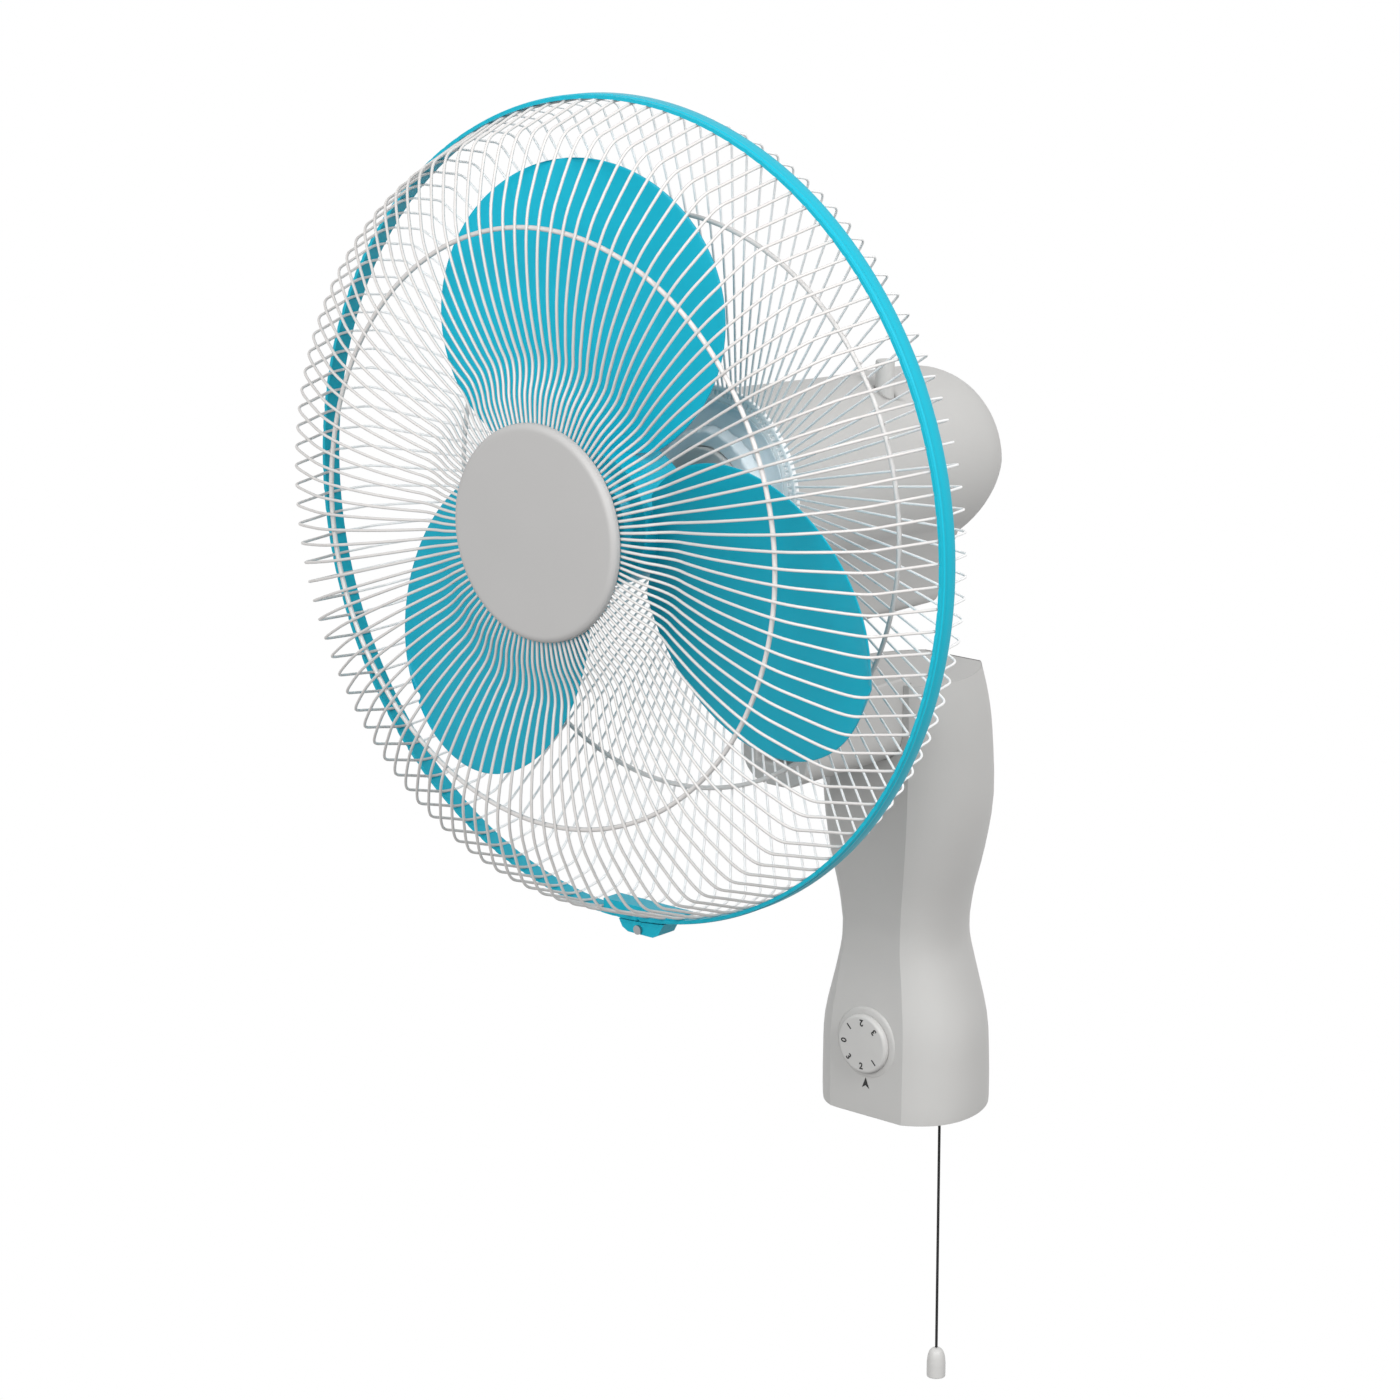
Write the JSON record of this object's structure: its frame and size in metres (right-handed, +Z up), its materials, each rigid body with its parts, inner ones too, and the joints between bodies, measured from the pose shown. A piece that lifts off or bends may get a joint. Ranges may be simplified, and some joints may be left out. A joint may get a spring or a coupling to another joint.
{
  "type": "wall mounted fan",
  "caption": "Oscillating wall fan with a wire guard, a cyan bladed rotor and clamp ring, a waisted grey wall column, a speed dial and a pull cord.",
  "frame": {"origin": "middle of the wall plate's upper pad, on the wall", "axes": "+Z up, +Y into the wall; the fan blows towards -Y"},
  "size_m": [0.44, 0.3575, 0.7806],
  "materials": {
    "grey_plastic": "satin",
    "badge_plastic": "satin",
    "light_plastic": "satin",
    "cyan_plastic": "gloss",
    "white_wire": "gloss",
    "dish_grey": "satin",
    "black_plastic": "satin",
    "steel": "brushed",
    "copper": "satin",
    "brass": "satin"
  },
  "bodies": {
    "column": {"wall_plate": "steel", "column_back_cover": "grey_plastic", "back_cover_screw_1": "steel", "back_cover_screw_2": "steel", "back_cover_screw_3": "steel", "back_cover_screw_4": "steel", "mains_grommet": "black_plastic", "speed_switch": "black_plastic", "cord_bushing": "black_plastic", "pull_switch": "black_plastic", "run_capacitor": "black_plastic", "terminal_block": "light_plastic", "column_shell": "grey_plastic", "neck_bracket": "grey_plastic", "neck_bracket_screw_1": "steel", "neck_bracket_screw_2": "steel", "tilt_bolt": "steel"},
    "neck": {"neck_casting": "grey_plastic", "pivot_bush": "brass"},
    "head": {"motor_rear_cover": "grey_plastic", "motor_front_housing": "grey_plastic", "front_bearing": "steel", "stator_core": "steel", "stator_winding_front": "copper", "stator_winding_rear": "copper", "gear_frame": "steel", "rear_bearing": "steel", "pivot_post": "steel", "rear_guard": "white_wire", "rear_guard_ring": "white_wire", "rear_guard_plate": "dish_grey", "guard_lock_nut": "dish_grey", "front_guard": "white_wire", "front_guard_ring": "white_wire", "badge_disc": "badge_plastic", "badge_backing_plate": "grey_plastic", "clamp_ring": "cyan_plastic", "clamp_clasp": "cyan_plastic", "clamp_screw": "steel"},
    "rotor": {"motor_shaft": "steel", "rotor_core": "steel", "fan_blade": "cyan_plastic", "blade_nut": "cyan_plastic", "drive_worm": "brass"},
    "clutch_wheel": {"worm_wheel": "light_plastic"},
    "crank": {"crank_gear": "light_plastic"},
    "link": {"oscillation_link": "steel"},
    "push_knob": {"oscillation_knob": "light_plastic"},
    "dial": {"speed_knob": "light_plastic", "speed_switch_spindle": "steel"},
    "pull": {"pull_cord": "black_plastic", "cord_toggle": "light_plastic", "pull_switch_lever": "brass"}
  },
  "joints": [
    {"name": "tilt", "type": "hinge", "parent": "column", "child": "neck", "pos_m": [0, -0.14, 0.055], "axis": [1, 0, 0], "range_deg": [-2, 20]},
    {"name": "oscillation", "type": "hinge", "parent": "neck", "child": "head", "pos_m": [0, -0.149, 0.113], "axis": [0, 0, 1], "range_deg": [-40, 40]},
    {"name": "rotor_spin", "type": "hinge", "parent": "head", "child": "rotor", "pos_m": [0, -0.29, 0.202], "axis": [0, 1, 0], "continuous": true},
    {"name": "worm_wheel_spin", "type": "hinge", "parent": "head", "child": "clutch_wheel", "pos_m": [0.024, -0.101, 0.202], "axis": [0, 0, 1], "continuous": true},
    {"name": "crank_spin", "type": "hinge", "parent": "head", "child": "crank", "pos_m": [0.006, -0.114, 0.135], "axis": [0, 0, 1], "continuous": true},
    {"name": "link_swing", "type": "hinge", "parent": "neck", "child": "link", "pos_m": [0.01, -0.149, 0.127], "axis": [0, 0, 1], "range_deg": [-40, 40]},
    {"name": "oscillation_knob_push", "type": "slide", "parent": "head", "child": "push_knob", "axis": [0, 0, 1], "range_m": [0, 0.006]},
    {"name": "speed_dial_turn", "type": "hinge", "parent": "column", "child": "dial", "pos_m": [0, -0.09, -0.1426], "axis": [0, -1, 0], "continuous": true},
    {"name": "cord_pull", "type": "slide", "parent": "column", "child": "pull", "axis": [0, 0, -1], "range_m": [0, 0.012], "stiffness_N_per_m": 300, "springref_m": -0.002}
  ],
  "couplings": [
    {"joint": "worm_wheel_spin", "follows": "rotor_spin", "ratio": 0.0625},
    {"joint": "crank_spin", "follows": "rotor_spin", "ratio": -0.018601},
    {"joint": "link_swing", "follows": "oscillation", "ratio": 1}
  ]
}
